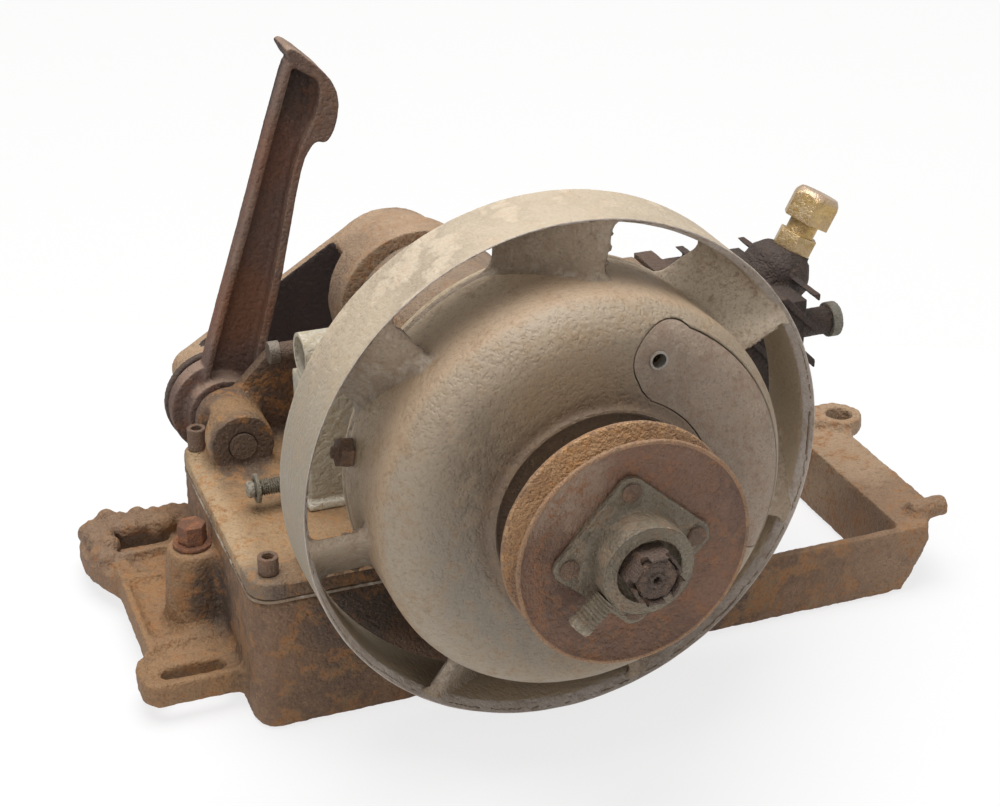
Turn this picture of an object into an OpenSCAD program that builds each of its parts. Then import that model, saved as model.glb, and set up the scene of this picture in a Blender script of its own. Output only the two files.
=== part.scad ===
// Small horizontal stationary engine on its own tank base: fan flywheel with a
// V-belt pulley in front, kick lever on the left, finned cylinder on the right.

/* [Crankshaft] */
// Height of the crankshaft centre above the floor
axis_h = 136; // [132:1:150]
// Diameter of the crankshaft
shaft_d = 19; // [16:0.5:22]
// Radial running clearance of the turning shafts
run_fit = 0.08; // [0.02:0.01:0.1]

/* [Flywheel] */
// Outside diameter of the fan flywheel
wheel_d = 250; // [220:1:254]
// Width of the rim along the shaft
rim_w = 38; // [30:1:39]
// Wall of the rim at its back edge
rim_t = 3.5; // [3:0.25:8]
// Diameter of the closed bowl
bowl_d = 193; // [170:1:200]
// Wall of the bowl
bowl_t = 5; // [4:0.5:8]
// Radius of the bowl's front edge
bowl_r = 19; // [10:1:24]
// How far the bowl stands in front of the rim
bowl_out = 31; // [24:1:36]
// Thickness of a fan vane
vane_t = 5; // [3:0.5:8]

/* [Pulley] */
// Outside diameter of the V-belt pulley
pulley_d = 108; // [90:1:112]
// Distance between the two rims of the pulley
groove_w = 20; // [14:1:22]
// Sheet thickness of the pulley
disc_t = 2.5; // [2:0.25:4]
// Radius of the rivet circle on the hub
rivet_r = 29.5; // [27:0.5:32]

/* [Kick starter] */
// Diameter of the kick shaft
kick_d = 14; // [12:0.5:16]
// Length of the lever arm from the shaft to the tread
lever_len = 188; // [170:1:196]
// Lean of the lever at rest, clockwise from upright
lever_lean = 15.5; // [10:0.5:18]

/* [Base] */
// Height of the crankshaft above the gasket face of the tank
shaft_above = 65; // [62:1:70]
// Thickness of the casting walls
wall = 5; // [4:0.5:8]
// Height of the frame rail
rail_h = 39; // [34:1:44]
// Underside of the mounting flange above the floor
flange_z = 8; // [6:0.5:12]
// Thickness of the mounting flange
flange_t = 12; // [9:0.5:14]
// Width of the mounting slots
slot_w = 9; // [7:0.5:11]
// Length of the mounting slots between end centres
slot_l = 24; // [18:1:30]
// Width of the cross-bar at the right end of the frame
bar_w = 29; // [24:1:34]
// Diameter of the hole in the frame lug
lug_d = 15; // [10:0.5:17]

/* [Cylinder] */
// Outside size of the square fins
fin_s = 82; // [74:1:84]
// Pitch of the slanted fins
fin_p = 12.9; // [11:0.1:15]
// Thickness of a fin
fin_t = 3.5; // [2.5:0.25:5]
// Across flats of the brass cap
cap_af = 23; // [20:0.5:26]
// Lean of the plug from upright, towards the head
plug_lean = 27; // [20:1:36]

/* [Hidden] */
$fn = 64;
y_face = 46;
y_mid = 104;
y_back = 198;
bowl_back = 38;
kick_x = -113;
kick_z = axis_h - 42;
kick_r = kick_d / 2;
shaft_r = shaft_d / 2;
wheel_r = wheel_d / 2;
bowl_rr = bowl_d / 2;
pulley_r = pulley_d / 2;
box_l = -139;
box_r = 62;
tank_h = axis_h - shaft_above;
top_z = tank_h + 10;
gasket_t = 1.5;
frame_r = 245;
opening_r = frame_r - bar_w;
rail_y = 178;
foot_x = box_l - 23;
lug_y = 169;
lug_r = 13.5;
lug_t = 11;
bolt_x = box_l - 10;
bolt_y = 128;
bolt_r = 4;
through = 500;
seat_gap = 0.05;
x_off = -32.25;
y_off = -84;
y_hub = -bowl_out - 19;
y_pf = y_hub - groove_w;
y_pm = (y_hub + y_pf) / 2;
hub_r = 18.5;
case_r = 46;
case_back = 190;
lever_y = case_back + 13;
drum_y = case_back + 16;
ring_y = case_back + 28.5;
plate_y = case_back + 65;
end_y = plate_y + 6;
base_x = 96;
core_x = 104;
head_x = 161;
bore_r = 27;
rod_z = axis_h - 3;
rod_y = 184;
rod_r = 4.8;
lip_r = 47.5;
blade_tilt = 47;

// ---- helpers ----
// all sub-parts share one origin: the middle of the engine on the floor
module at_origin() { translate([x_off, y_off, 0]) children(); }
// cylinder along +Y from y = a to y = b
module ycyl(r, a, b) { translate([0, a, 0]) rotate([-90, 0, 0]) cylinder(r = r, h = b - a); }
module ytube(ro, ri, a, b) { difference() { ycyl(ro, a, b); ycyl(ri, a - 1, b + 1); } }
// profile in the XZ plane, pushed from y = a to y = b
module yext(a, b) { translate([0, b, 0]) rotate([90, 0, 0]) linear_extrude(b - a) children(); }
module xcyl(r, a, b) { translate([a, 0, 0]) rotate([0, 90, 0]) cylinder(r = r, h = b - a); }
module rsq(x0, y0, x1, y1, r) {
  union() {
    translate([x0 + r, y0]) square([x1 - x0 - 2 * r, y1 - y0]);
    translate([x0, y0 + r]) square([x1 - x0, y1 - y0 - 2 * r]);
    for (px = [x0 + r, x1 - r], py = [y0 + r, y1 - r]) translate([px, py]) circle(r);
  }
}
module slot2(l, w) { union() { square([l, w], center = true); for (s = [-1, 1]) translate([s * l / 2, 0]) circle(w / 2); } }
module hexp(af) { circle(r = af / 2 / cos(30), $fn = 6); }
module crank() { translate([0, 0, axis_h]) children(); }
module kick() { translate([kick_x, 0, kick_z]) children(); }

// ---- lower casting ----
// outline of the frame's right end, seen from above
module frame_plan() polygon([[opening_r - 2, y_face], [frame_r - 16, y_face], [frame_r, 70], [frame_r, 184], [opening_r - 2, 184]]);
module base_casting() color("#6e5036") at_origin() {
  difference() {
    union() {
      // tank box
      linear_extrude(tank_h) rsq(box_l, y_face, box_r, y_back, 12);
      // mounting flange on the left
      translate([0, 0, flange_z]) linear_extrude(flange_t) union() {
        rsq(-189, 70, -120, 102, 11);
        rsq(-181, 90, -120, 200, 6);
        rsq(-194, 194, -122, 232, 14);
        polygon([[-181.5, 174], [-122, 174], [-122, 215], [-194, 215], [-194, 208], [-192, 196]]);
      }
      // rib of the flange
      translate([-178, 104, flange_z + flange_t - 1]) cube([50, 6, 5]);
      translate([-178, 168, flange_z + flange_t - 1]) cube([50, 6, 5]);
      // upright bolt boss
      translate([bolt_x, bolt_y, flange_z + 2]) cylinder(r1 = 18, r2 = 13.5, h = 52);
      // frame: near rail cut away under its right end, far rail
      yext(y_face, y_face + wall + 1) polygon([[50, 0], [frame_r - 36, 0], [frame_r - 25, 5], [frame_r - 18.5, 18], [frame_r - 13.5, rail_h - 9],
        [frame_r - 16, rail_h], [50, rail_h]]);
      translate([50, rail_y, 0]) cube([frame_r - 54, wall + 1, rail_h]);
      // cross-bar: top plate, inner wall and outer wall
      translate([0, 0, rail_h - wall]) linear_extrude(wall) frame_plan();
      translate([opening_r - 2, y_face + 1, 0]) cube([wall, rail_y - y_face, rail_h - 1]);
      translate([frame_r - wall, 78, 0]) cube([wall, 184 - 78, rail_h - 1]);
      // pad and lug at the far corner
      translate([0, 0, rail_h - 1]) linear_extrude(7) rsq(opening_r + 3, lug_y - 4, frame_r + 5, 184, 2);
      translate([frame_r, lug_y, rail_h - wall]) cylinder(r = lug_r, h = lug_t);
      // stub at the near corner
      translate([0, 60, rail_h + 2]) xcyl(6, opening_r + 9, frame_r + 2);
    }
    // tank hollow, open at the top
    translate([0, 0, wall]) linear_extrude(tank_h) rsq(box_l + wall, y_face + wall, box_r - wall, y_back - wall, 8);
    // mounting slots and holes
    for (fy = [83, 212]) translate([foot_x, fy, -1]) linear_extrude(through) slot2(slot_l, slot_w);
    translate([frame_r, lug_y, -1]) cylinder(d = lug_d, h = through);
    translate([frame_r, lug_y, -1]) cylinder(d = lug_d + 3, h = rail_h - wall + 1);
    translate([bolt_x, bolt_y, flange_z + 17]) cylinder(r = bolt_r + 0.1, h = through);
  }
}

module tank_gasket() color("#b9a894") at_origin() translate([0, 0, tank_h]) linear_extrude(gasket_t) difference() {
  rsq(box_l, y_face, box_r, y_back, 12);
  rsq(box_l + wall + 3, y_face + wall + 3, box_r - wall - 3, y_back - wall - 3, 6);
}

module upper_casting() color("#a5825c") at_origin() difference() {
  union() {
    translate([0, 0, tank_h + gasket_t]) linear_extrude(top_z - tank_h - gasket_t) rsq(box_l, y_face, box_r, y_back, 12);
    // seats of the cap screws
    translate([box_l + 11, 57, top_z - 1]) cylinder(r = 10, h = 2);
    translate([box_l + 7, 184, top_z - 1]) cylinder(r = 7, h = 5);
    // kick shaft boss
    kick() ycyl(17, 161, y_back);
    translate([kick_x - 15, 161, top_z - 4]) cube([30, y_back - 161, kick_z - top_z + 4]);
    // raised pad with a rounded end
    translate([-112, 57, top_z]) rotate([0, 90, 0]) cylinder(r = 8, h = 28);
    // saddle that carries the crankcase
    yext(64, case_back) polygon([[-46, top_z - 1], [35, top_z - 1], [35, axis_h - 36], [-40, axis_h - 36]]);
    // wall between the kick shaft boss and the crankcase
    yext(case_back, y_back) polygon([[kick_x, top_z - 1], [-30, top_z - 1], [-30, axis_h - 4], [-88, axis_h - 4], [kick_x + 4, kick_z + 17]]);
  }
  kick() ycyl(kick_r + run_fit, -through, through);
  translate([box_l + 11, 57, top_z - 7]) cylinder(r = 2.9, h = through);
  translate([box_l + 7, 184, top_z - 7]) cylinder(r = 2.9, h = through);
  // spot face beside the boss
  translate([box_l + 7, 184, top_z + 4]) cylinder(r = 8, h = 40);
  // seat of the crankcase
  crank() ycyl(case_r + seat_gap, -through, through);
}

module cap_screw(x, y, z, h) at_origin() translate([x, y, z]) difference() {
  union() { cylinder(r = 5, h = h); translate([0, 0, -6]) cylinder(r = 2.8, h = 7); }
  translate([0, 0, h - 4]) cylinder(r = 3, h = 5, $fn = 6);
}
module front_cap_screw() color("#6b4a33") cap_screw(box_l + 11, 57, top_z + 1, 9);
module rear_cap_screw() color("#6b4a33") cap_screw(box_l + 7, 184, top_z + 4, 12);

module flange_bolt() color("#8a4a25") at_origin() translate([bolt_x, bolt_y, flange_z + 56]) {
  linear_extrude(10) hexp(13);
  translate([0, 0, -30]) cylinder(r = bolt_r, h = 31);
}
module bolt_washer() color("#a85a2a") at_origin() translate([bolt_x, bolt_y, flange_z + 54]) difference() {
  cylinder(r = 10, h = 2);
  translate([0, 0, -1]) cylinder(r = bolt_r + 0.1, h = 5);
}

// ---- crankcase, centred on the crankshaft ----
module crankcase() color("#8f7a60") at_origin() difference() {
  union() {
    crank() ycyl(case_r, 64, case_back);
    crank() ycyl(30, 43, 65);
    crank() ycyl(38, case_back - 1, drum_y);
    // square flange towards the cylinder
    translate([36, y_mid - 40, axis_h - 40]) cube([base_x - 36, 80, 80]);
    // pad of the carburettor
    translate([-50, carb_y - 15, axis_h - 33]) cube([10, 30, 30]);
  }
  crank() ycyl(shaft_r + run_fit, -through, through);
  // crank chamber
  crank() ycyl(38, 72, case_back - 8);
  translate([0, y_mid, axis_h]) xcyl(bore_r, 30, base_x + 1);
}

module stator_plate() color("#b3a588") at_origin() crank() {
  ytube(bowl_rr - 4.5, 30.05, 43, 46);
  // carrier behind the plate
  ytube(52, 30.05, 46, 52);
}

// ---- kick starter ----
// two circles joined by their tangents, the big one on the crankshaft
module tear(rb, rs) {
  e = 0.2; dx = kick_x; dz = kick_z - axis_h; d = sqrt(dx * dx + dz * dz);
  a = atan2(dz, dx); b = acos((rb - rs) / d);
  union() {
    circle(rb);
    translate([dx, dz]) circle(rs);
    polygon([[(rb - e) * cos(a + b), (rb - e) * sin(a + b)], [dx + (rs - e) * cos(a + b), dz + (rs - e) * sin(a + b)],
             [dx + (rs - e) * cos(a - b), dz + (rs - e) * sin(a - b)], [(rb - e) * cos(a - b), (rb - e) * sin(a - b)]]);
  }
}
module starter_case() color("#8a6b4e") at_origin() difference() {
  union() {
    translate([-3, 0, 1]) {
      // back plate, with a deep pocket between the two housings
      crank() yext(plate_y, end_y) tear(37, 12.4);
      // drum of the starter
      crank() ycyl(43, drum_y, drum_y + 24);
      // wall between the drum and the back plate, open on the left
      crank() intersection() {
        translate([0, drum_y + 23, 0]) rotate([-90, 0, 0]) cylinder(r1 = 42.8, r2 = 36.5, h = plate_y - drum_y - 22);
        yext(drum_y + 22, plate_y + 2) rotate(33) translate([-14, -60]) square([80, 120]);
      }
    }
    // tapered housing of the kick shaft
    kick() translate([0, ring_y + 4, 0]) rotate([-90, 0, 0]) cylinder(r1 = 21, r2 = 13, h = end_y - ring_y - 5);
  }
  kick() ycyl(kick_r + run_fit, drum_y, drum_y + 35);
  crank() ycyl(shaft_r + run_fit, drum_y - 1, drum_y + 21);
}
module starter_cover() color("#8f7358") at_origin() kick() difference() {
  ycyl(27.7, ring_y, ring_y + 4);
  ycyl(kick_r + run_fit, drum_y, drum_y + 35);
}
module kick_shaft() color("#5e4634") at_origin() kick() ycyl(kick_r, 160, drum_y + 34);
module arm_pos() { kick() rotate([0, lever_lean, 0]) children(); }
module kick_lever() color("#5b3f31") at_origin() {
  t = lever_len;
  difference() {
    union() {
      difference() {
        union() {
          // arm
          arm_pos() yext(lever_y, lever_y + 13) polygon([[-14.4, -4], [-14.3, 10], [-14.2, 34], [-13, 64], [-11.3, 98], [-10.1, 128], [-8.9, t - 28],
            [-7.6, t - 4], [-7, t + 2], [-0.1, t + 3], [9, t - 1], [16, t - 8], [19, t - 20], [18, t - 30], [15, t - 35], [14.3, t - 40],
            [13.2, t - 44], [12.6, 136], [13, 121], [14.1, 102], [15.2, 80], [15.2, 60], [15.5, 30], [16.7, 11], [17, -4]]);
          // disc on the pivot
          kick() ycyl(26.7, lever_y + 4, lever_y + 14.5);
          // tread, curled over at its outer end
          arm_pos() yext(lever_y, lever_y + 25) polygon([[-9.3, t + 8.5], [-7.5, t + 9.9], [-4.7, t + 9.3], [-0.1, t + 7.5], [6, t + 4.4], [12.3, t + 1],
            [17.8, t - 3.2], [21.9, t - 8.4], [24.3, t - 14.5], [25, t - 21], [24.9, t - 27.4], [23.8, t - 32], [22.7, t - 34.2], [20.8, t - 35.3],
            [18.1, t - 35], [16.2, t - 36], [14.3, t - 40], [13, t - 45], [11, t - 38], [11.2, t - 31.1], [12.4, t - 26.7], [13.1, t - 22.9],
            [13.4, t - 17.6], [13, t - 11.4], [12.1, t - 7.3], [10.1, t - 3.5], [5.7, t - 2.2], [-0.1, t - 0.5], [-4.8, t + 2.5], [-6.9, t + 4.8], [-9, t + 7]]);
        }
        // channel, open to the front
        arm_pos() yext(lever_y - 1, lever_y + 9.5) polygon([[-10.9, 8], [-10.7, 34], [-9.5, 64], [-7.8, 98], [-6.6, 128], [-5.4, t - 28], [-4.3, t - 6],
          [-4.2, t + 1], [-0.1, t - 0.7], [5.7, t - 2.4], [10, t - 3.8], [12, t - 7.5], [12.9, t - 11.4], [13.3, t - 17.6], [13, t - 22.9],
          [12.3, t - 26.7], [11.1, t - 31.1], [9, t - 40], [8.1, 136], [8.5, 121], [9.6, 102], [10.7, 80], [10.7, 60], [11, 30], [12.2, 8]]);
      }
      kick() ycyl(19.3, lever_y - 4, lever_y + 13.5);
    }
    kick() ycyl(kick_r + 0.02, -through, through);
  }
}

// ---- cylinder ----
module cylinder_fins() {
  // slanted plates inside a square block
  intersection() {
    translate([core_x, y_mid - fin_s / 2, axis_h - fin_s / 2]) cube([head_x - core_x, fin_s, fin_s]);
    union() for (i = [0:14])
      translate([head_x, y_mid, axis_h + fin_s / 2]) rotate([0, 45, 0])
        translate([0, 0, -i * fin_p - fin_t / 2]) cube([260, fin_s + 2, fin_t], center = true);
  }
}
module plug_pos() { translate([164, y_mid, axis_h + 45.5]) rotate([0, plug_lean, 0]) children(); }
module finned_cylinder() color("#2f2723") at_origin() difference() {
  union() {
    cylinder_fins();
    // square core between the fins
    translate([core_x - 1, y_mid - fin_s / 2 + 4, axis_h - fin_s / 2 + 4]) cube([head_x - core_x - 4, fin_s - 8, fin_s - 8]);
    translate([base_x, y_mid - fin_s / 2, axis_h - fin_s / 2]) cube([core_x - base_x, fin_s, fin_s]);
    // boss of the plug on the slanted corner
    translate([head_x, y_mid, axis_h + fin_s / 2]) rotate([0, 45, 0]) {
      translate([0, 0, -26]) cylinder(r = 18.5, h = 24.1);
      translate([0, 0, -2]) cylinder(r1 = 18.5, r2 = 15.5, h = 5.5);
      translate([0, 0, 3.4]) cylinder(r1 = 15.5, r2 = 11, h = 5.4);
    }
    plug_pos() translate([0, 0, -14]) cylinder(r = 10.6, h = 17.5);
    // exhaust port
    translate([0, y_mid, axis_h + 5]) xcyl(7.5, 140, 190);
  }
  plug_pos() translate([0, 0, -9]) cylinder(r = 7.05, h = 40);
  plug_pos() translate([0, 0, 3.5]) cylinder(r = 13, h = 20);
  translate([0, y_mid, axis_h]) xcyl(bore_r, base_x - 1, 145);
}
module plug_adapter() color("#a8813f") at_origin() plug_pos() {
  translate([0, 0, -9]) cylinder(r = 7, h = 13);
  translate([0, 0, 3.5]) linear_extrude(9) hexp(19);
  translate([0, 0, 12]) cylinder(r = 7.6, h = 7.5);
}
module brass_cap() color("#b08a48") at_origin() plug_pos() translate([0, 0, 19.5]) intersection() {
  linear_extrude(16) hexp(cap_af);
  cylinder(r1 = cap_af / 2 + 10.4, r2 = cap_af / 2 - 1.5, h = 16);
}
module exhaust_flange() color("#6f7263") at_origin() translate([0, y_mid, axis_h + 5]) xcyl(9.3, 190, 195.5);

// ---- rotating group ----
module crankshaft() color("#6b5848") at_origin() crank() {
  ycyl(shaft_r, -88, drum_y + 20);
}
// half section of a cup: outer radius r, front at yf, back at ye, edge radius c
module cup(r, yf, ye, c) {
  difference() {
    translate([0, -ye]) square([r, ye - yf]);
    translate([r - c, -yf - c]) difference() { square([c + 1, c + 1]); circle(c); }
  }
}
module revolve() { rotate([90, 0, 0]) rotate_extrude() children(); }
module bowl() {
  revolve() difference() {
    union() {
      difference() { cup(bowl_rr, -bowl_out, bowl_back, bowl_r); cup(bowl_rr - bowl_t, -bowl_out + bowl_t, 60, bowl_r - bowl_t); }
      // floor of the pulley recess, the lip round it, and the hub
      translate([0, bowl_out - 10]) square([54, 6]);
      translate([lip_r, bowl_out - 2]) square([3.5, 4.2]);
      translate([0, -34]) square([24, bowl_out + 28]);
    }
    translate([-1, bowl_out - 4]) square([1 + lip_r, 20]);
    translate([-1, -80]) square([1 + shaft_r + 0.02, 200]);
  }
}
// outline of the inspection cover, with its rounded end round the eyelet
module cover2d(g) {
  union() {
    intersection() {
      difference() { circle(90.3 + g); circle(55.2 - g); }
      polygon([[0, 0], [200, -90], [200, 200], [92, 200]]);
    }
    translate([30.5, 69]) circle(16.2 + g);
    difference() {
      polygon([[16 - g, 62], [18.6 - g, 56], [21.5 - g, 52.2], [26 - g, 48.7], [31, 45.6 - g], [40, 60], [30, 69]]);
      circle(55.2 - g);
    }
  }
}
eye_x = 25.8;
eye_z = 69.4;
module flywheel() color("#b1a68e") at_origin() crank() difference() {
  union() {
    // rim, chamfered on its inner front edge
    revolve() polygon([[wheel_r - 0.8, 0], [wheel_r, 0], [wheel_r, -rim_w], [wheel_r - rim_t - 0.5, -rim_w], [wheel_r - rim_t, -5.5]]);
    bowl();
    // seven slanted blades between the bowl and the rim
    intersection() {
      revolve() polygon([[bowl_rr - 3, -2], [wheel_r - 2, -2], [wheel_r - 2, 2 - rim_w], [bowl_rr - 3, 2 - rim_w]]);
      union() for (i = [0:6]) rotate([0, -(29 + i * 360 / 7), 0]) translate([0, 2, 0]) rotate([blade_tilt, 0, 0])
        translate([bowl_rr - 20, -8, 0]) cube([50, 66, vane_t]);
    }
  }
  // seat of the inspection cover, following the bowl
  difference() {
    yext(-bowl_out - 5, 5) cover2d(0.35);
    revolve() cup(bowl_rr - 2.6, -bowl_out + 2.6, 60, bowl_r - 2.6);
  }
}
module inspection_cover() color("#a49b86") at_origin() crank() difference() {
  intersection() {
    yext(-bowl_out - 5, 5) cover2d(-0.35);
    revolve() difference() {
      cup(bowl_rr - 0.1, -bowl_out + 0.1, 60, bowl_r - 0.1);
      cup(bowl_rr - 2.5, -bowl_out + 2.5, 80, bowl_r - 2.5);
    }
  }
  translate([eye_x, 0, eye_z]) ycyl(4.35, -60, 0);
}
module cover_eyelet() color("#c9c6bc") at_origin() crank() translate([eye_x, 0, eye_z]) ytube(4.3, 3.3, -bowl_out - 1, -bowl_out + 2.4);
// hexagon screw set in the side of the bowl, pointing outwards
module bowl_screw() color("#7a4b2d") at_origin() crank() rotate([0, -169, 0]) translate([bowl_rr + 0.05, 27, 0]) rotate([0, 90, 0]) {
  linear_extrude(6.5) hexp(12.5);
  cylinder(r = 3, h = 9);
}
module disc_prof(dir) {
  // pressed disc, half section: web, cone and rim
  a = groove_w / 2;
  polygon([[hub_r + 0.02, dir * 2], [pulley_r - 16, dir * 2], [pulley_r, dir * (a - disc_t)], [pulley_r, dir * a], [pulley_r - 1, dir * a],
           [pulley_r - 16.8, dir * (2 + disc_t)], [hub_r + 0.02, dir * (2 + disc_t)]]);
}
module pulley_rear() color("#8d5f38") at_origin() crank() translate([0, y_pm, 0]) rotate([90, 0, 0]) rotate_extrude() disc_prof(-1);
module pulley_front() color("#6b4536") at_origin() crank() translate([0, y_pm, 0]) rotate([90, 0, 0]) rotate_extrude() disc_prof(1);
// four round lobes joined by straight edges
module lobes(r) {
  e = 0.2;
  union() {
    for (i = [0:3]) rotate(4 + i * 90) translate([rivet_r, 0]) circle(r);
    rotate(4) polygon([for (i = [0:3], s = [-1, 1]) [rivet_r * cos(i * 90) + (r - e) * cos(i * 90 + s * 45), rivet_r * sin(i * 90) + (r - e) * sin(i * 90 + s * 45)]]);
  }
}
module pulley_hub() color("#6f6b58") at_origin() crank() difference() {
  union() {
    // collar in front, lobed plate, spool between the discs, collar behind
    ycyl(21, y_pm - 24, y_pm - 6);
    yext(y_pm - 7.5, y_pm - 4 - seat_gap - disc_t + 2) lobes(7);
    ycyl(hub_r, y_pm - 6.5, y_pm + 4.5);
    ycyl(30, y_pm - 2 + seat_gap, y_pm + 2 - seat_gap);
    ycyl(18, y_pm + 4, -bowl_out + 4);
  }
  ycyl(shaft_r + 0.02, -through, through);
  ycyl(14.5, -through, -79);
}
module hub_rivets() color("#7d5a3f") at_origin() crank() for (i = [0:3]) rotate([0, -(4 + i * 90), 0]) translate([rivet_r, 0, 0]) ycyl(4.5, y_pm - 9, y_pm - 7.5);
module hub_set_screw() color("#6b5a45") at_origin() crank() translate([0, -75.5, 0]) rotate([0, -223, 0]) xcyl(5.8, 21.3, 39.5);
module crank_nut() color("#5f463a") at_origin() crank() difference() {
  yext(-93, -79.2) circle(r = 13, $fn = 6);
  ycyl(shaft_r + 0.02, -through, through);
  // slots of the castle nut
  for (i = [0:2]) rotate([0, 60 * i, 0]) translate([-20, -94, -1.6]) cube([40, 5, 3.2]);
}

// ---- carburettor ----
carb_x = -76.2;
carb_y = y_mid + 14;
tube_z = axis_h + 24.7;
needle_z = top_z + 11.7;
needle_r = 4.3;
module carburettor() color("#b4b3a4") at_origin() union() {
  translate([carb_x - 18, carb_y - 13, top_z]) cube([36, 28, 4.5]);
  translate([carb_x - 17, carb_y - 12, top_z + 4]) cube([34, 25, tube_z - top_z - 16]);
  // outlet towards the crankcase
  translate([carb_x, carb_y, axis_h - 18]) rotate([0, 90, 0]) cylinder(r = 10, h = -50 - carb_x);
  // boss of the needle
  translate([carb_x - 28, carb_y, needle_z]) rotate([0, 90, 0]) cylinder(r = 7, h = 24);
}
module intake_tube() color("#bdb9a6") at_origin() translate([carb_x - 16, carb_y, tube_z]) rotate([0, 90, 0]) difference() {
  cylinder(r = 11.5, h = 34);
  translate([0, 0, -1]) cylinder(r = 9.6, h = 32);
}
module needle_screw() color("#6d6d55") at_origin() translate([carb_x - 46, carb_y, needle_z]) rotate([0, 90, 0]) cylinder(r = needle_r, h = 18);
module needle_washer() color("#8d8b78") at_origin() translate([carb_x - 42, carb_y, needle_z]) rotate([0, 90, 0]) difference() { cylinder(r = 7.5, h = 2); translate([0, 0, -1]) cylinder(r = needle_r + 0.02, h = 5); }

// ---- stop rod ----
module stop_rod() color("#6b4a38") at_origin() difference() {
  translate([0, rod_y, rod_z]) xcyl(rod_r, -86, -30);
  crank() ycyl(case_r + 0.02, -through, through);
}
module rod_knob() color("#b7b2a2") at_origin() translate([0, rod_y, rod_z]) xcyl(6, -92, -86);

base_casting();
tank_gasket();
upper_casting();
front_cap_screw();
rear_cap_screw();
flange_bolt();
bolt_washer();
crankcase();
stator_plate();
starter_case();
starter_cover();
kick_shaft();
kick_lever();
finned_cylinder();  // cylinder
plug_adapter();
brass_cap();
exhaust_flange();
crankshaft();
flywheel();
bowl_screw();
inspection_cover();
cover_eyelet();
pulley_rear();
pulley_front();
pulley_hub();
hub_rivets();
hub_set_screw();
crank_nut();
carburettor();
intake_tube();
needle_screw();
needle_washer();
stop_rod();
rod_knob();
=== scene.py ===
import math
import bpy
from mathutils import Matrix, Vector


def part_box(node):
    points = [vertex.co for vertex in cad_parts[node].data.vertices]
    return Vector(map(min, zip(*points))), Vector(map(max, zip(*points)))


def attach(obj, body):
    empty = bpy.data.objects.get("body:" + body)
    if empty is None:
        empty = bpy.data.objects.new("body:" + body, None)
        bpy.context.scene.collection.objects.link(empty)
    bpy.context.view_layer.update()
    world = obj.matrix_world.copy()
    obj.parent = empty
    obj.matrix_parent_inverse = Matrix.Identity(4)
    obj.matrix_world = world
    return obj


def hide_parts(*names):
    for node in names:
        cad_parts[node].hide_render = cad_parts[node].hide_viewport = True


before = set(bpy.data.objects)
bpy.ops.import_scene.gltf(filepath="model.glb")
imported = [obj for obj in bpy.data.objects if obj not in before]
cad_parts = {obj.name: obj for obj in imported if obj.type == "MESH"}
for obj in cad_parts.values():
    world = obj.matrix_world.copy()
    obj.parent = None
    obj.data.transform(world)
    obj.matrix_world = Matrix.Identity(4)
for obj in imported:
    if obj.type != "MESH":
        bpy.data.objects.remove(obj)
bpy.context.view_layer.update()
bpy.ops.object.select_all(action="DESELECT")

# Camera: stands at the front left and looks down on the engine, so the pulley
# side, the kick lever and the top of the fan rim are all seen.
camera_place = (-0.33535, -0.77602, 0.55623)
yaw, pitch, roll = math.radians(21.215), math.radians(26.82), math.radians(0.257)
look = Vector((math.sin(yaw) * math.cos(pitch), math.cos(yaw) * math.cos(pitch), -math.sin(pitch)))
side = Vector((math.cos(yaw), -math.sin(yaw), 0.0))
above = side.cross(look)
right = side * math.cos(roll) + above * math.sin(roll)
upward = right.cross(look)
bpy.ops.object.camera_add(location=camera_place)
camera = bpy.context.object
camera.name = "studio_camera"
camera.matrix_world = Matrix((
    (right.x, upward.x, -look.x, camera_place[0]),
    (right.y, upward.y, -look.y, camera_place[1]),
    (right.z, upward.z, -look.z, camera_place[2]),
    (0, 0, 0, 1)))
camera.data.sensor_width = 36.0
camera.data.lens = 68.83
bpy.context.scene.camera = camera

# Table and backdrop: a white table top whose far edge crosses behind the
# engine, and a paler sheet beyond it. Both glow softly to the camera and in
# reflections, and still take the engine's shadow.
edge_left, edge_right = Vector((-0.22025, 0.4917, 0)), Vector((0.41215, 0.2046, 0))
along = (edge_right - edge_left).normalized()
towards = Vector((along.y, -along.x, 0))


def staged_sheet(name, corners, tint, glow):
    """One flat sheet of the stage, in a plain pale finish."""
    bpy.ops.mesh.primitive_plane_add(size=1.0)
    sheet = bpy.context.object
    sheet.name = name
    for corner, spot in zip(sheet.data.vertices, corners):
        corner.co = spot
    paint = bpy.data.materials.new(name + "_paint")
    paint.use_nodes = True
    nodes, link = paint.node_tree.nodes, paint.node_tree.links.new
    shader = nodes["Principled BSDF"]
    shader.inputs["Base Color"].default_value = (0.88, 0.88, 0.88, 1)
    shader.inputs["Roughness"].default_value = 0.8
    shader.inputs["Specular IOR Level"].default_value = 0.0
    light = nodes.new("ShaderNodeEmission")
    light.inputs["Color"].default_value = (*tint, 1)
    light.inputs["Strength"].default_value = 1.0
    path = nodes.new("ShaderNodeLightPath")
    first = nodes.new("ShaderNodeMath")
    first.operation = "ADD"
    link(path.outputs["Is Camera Ray"], first.inputs[0])
    link(path.outputs["Is Glossy Ray"], first.inputs[1])
    second = nodes.new("ShaderNodeMath")
    second.operation = "ADD"
    second.use_clamp = True
    link(first.outputs[0], second.inputs[0])
    link(path.outputs["Is Transmission Ray"], second.inputs[1])
    share = nodes.new("ShaderNodeMath")
    share.operation = "MULTIPLY"
    share.inputs[1].default_value = glow
    link(second.outputs[0], share.inputs[0])
    mixed = nodes.new("ShaderNodeMixShader")
    link(share.outputs[0], mixed.inputs[0])
    link(shader.outputs[0], mixed.inputs[1])
    link(light.outputs[0], mixed.inputs[2])
    link(mixed.outputs[0], nodes["Material Output"].inputs["Surface"])
    sheet.data.materials.append(paint)


middle = (edge_left + edge_right) / 2
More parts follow.
